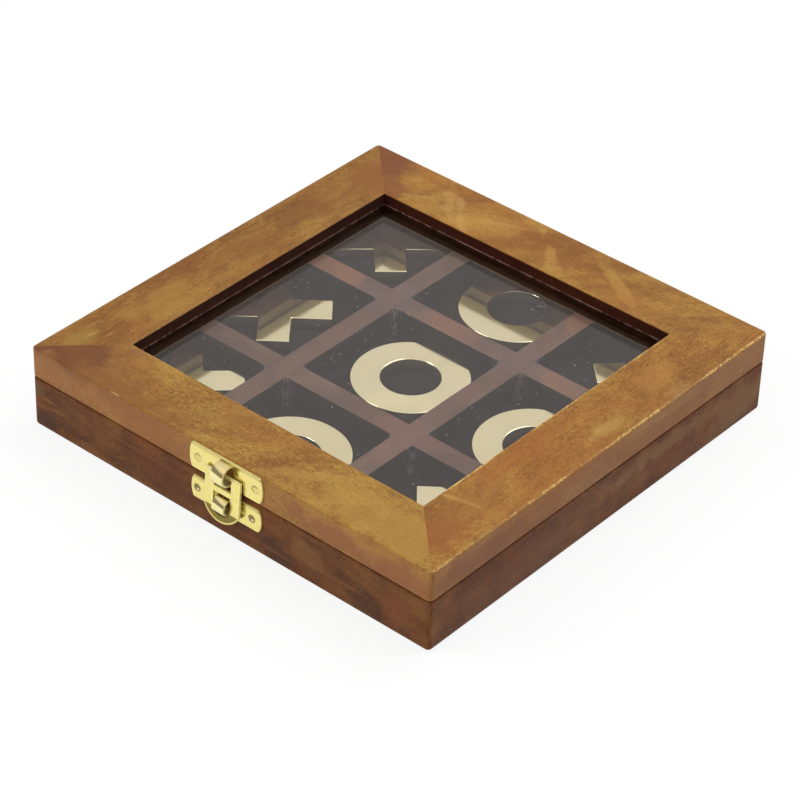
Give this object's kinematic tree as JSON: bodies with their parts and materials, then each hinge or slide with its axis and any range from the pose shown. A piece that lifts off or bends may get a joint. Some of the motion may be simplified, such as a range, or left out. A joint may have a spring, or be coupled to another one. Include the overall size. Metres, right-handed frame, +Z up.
{
  "type": "tic_tac_toe_game",
  "caption": "Wooden tic-tac-toe game: a square tray of nine flocked cells under a hinged glazed lid with a brass hasp, holding loose metal noughts and crosses.",
  "frame": {"origin": "centre of the underside of the tray, on the surface it stands on", "axes": "+Z up; the latch faces -Y; +X to the right of someone facing the latch"},
  "size_m": [0.178, 0.1869, 0.0324],
  "materials": {
    "base_wood": "dark red-brown, satin lacquer",
    "lid_wood": "golden brown, satin lacquer",
    "divider_wood": "pinkish brown, matt",
    "velvet": "black flock",
    "glass": "clear, slightly hazy",
    "brass": "polished, lacquered",
    "token_metal": "polished pale gold plate"
  },
  "bodies": {
    "box": {"base_wall_front": "base_wood", "base_wall_back": "base_wood", "base_wall_left": "base_wood", "base_wall_right": "base_wood", "base_panel": "base_wood", "divider_front": "divider_wood", "divider_back": "divider_wood", "divider_left": "divider_wood", "divider_right": "divider_wood", "velvet_pad": "velvet", "hinge_left_base_leaf": "brass", "hinge_left_pin": "brass", "hinge_right_base_leaf": "brass", "hinge_right_pin": "brass", "hinge_base_screws": "brass", "latch_keeper_plate": "brass", "latch_keeper_nails": "brass"},
    "lid": {"lid_rail_front": "lid_wood", "lid_rail_back": "lid_wood", "lid_rail_left": "lid_wood", "lid_rail_right": "lid_wood", "glass_pane": "glass", "hinge_left_lid_leaf": "brass", "hinge_right_lid_leaf": "brass", "hinge_lid_screws": "brass", "latch_lid_plate": "brass", "latch_lid_nails": "brass"},
    "hasp": {"latch_hasp": "brass"},
    "nought_1_body": {"nought_1": "token_metal"},
    "nought_2_body": {"nought_2": "token_metal"},
    "nought_3_body": {"nought_3": "token_metal"},
    "nought_4_body": {"nought_4": "token_metal"},
    "cross_1_body": {"cross_1": "token_metal"},
    "cross_2_body": {"cross_2": "token_metal"},
    "cross_3_body": {"cross_3": "token_metal"},
    "cross_4_body": {"cross_4": "token_metal"},
    "cross_5_body": {"cross_5": "token_metal"}
  },
  "joints": [
    {"name": "lid_hinge", "type": "hinge", "parent": "box", "child": "lid", "pos_m": [0, 0.0908, 0.02025], "axis": [-1, 0, 0], "range_deg": [0, 180]},
    {"name": "hasp_hinge", "type": "hinge", "parent": "lid", "child": "hasp", "pos_m": [0.002, -0.0906, 0.02615], "axis": [-1, 0, 0], "range_deg": [0, 150]},
    {"name": "nought_1_lift", "type": "slide", "parent": "box", "child": "nought_1_body", "axis": [0, 0, 1], "range_m": [0, 0.005]},
    {"name": "nought_2_lift", "type": "slide", "parent": "box", "child": "nought_2_body", "axis": [0, 0, 1], "range_m": [0, 0.005]},
    {"name": "nought_3_lift", "type": "slide", "parent": "box", "child": "nought_3_body", "axis": [0, 0, 1], "range_m": [0, 0.005]},
    {"name": "nought_4_lift", "type": "slide", "parent": "box", "child": "nought_4_body", "axis": [0, 0, 1], "range_m": [0, 0.005]},
    {"name": "cross_1_lift", "type": "slide", "parent": "box", "child": "cross_1_body", "axis": [0, 0, 1], "range_m": [0, 0.005]},
    {"name": "cross_2_lift", "type": "slide", "parent": "box", "child": "cross_2_body", "axis": [0, 0, 1], "range_m": [0, 0.005]},
    {"name": "cross_3_lift", "type": "slide", "parent": "box", "child": "cross_3_body", "axis": [0, 0, 1], "range_m": [0, 0.005]},
    {"name": "cross_4_lift", "type": "slide", "parent": "box", "child": "cross_4_body", "axis": [0, 0, 1], "range_m": [0, 0.005]},
    {"name": "cross_5_lift", "type": "slide", "parent": "box", "child": "cross_5_body", "axis": [0, 0, 1], "range_m": [0, 0.005]}
  ]
}
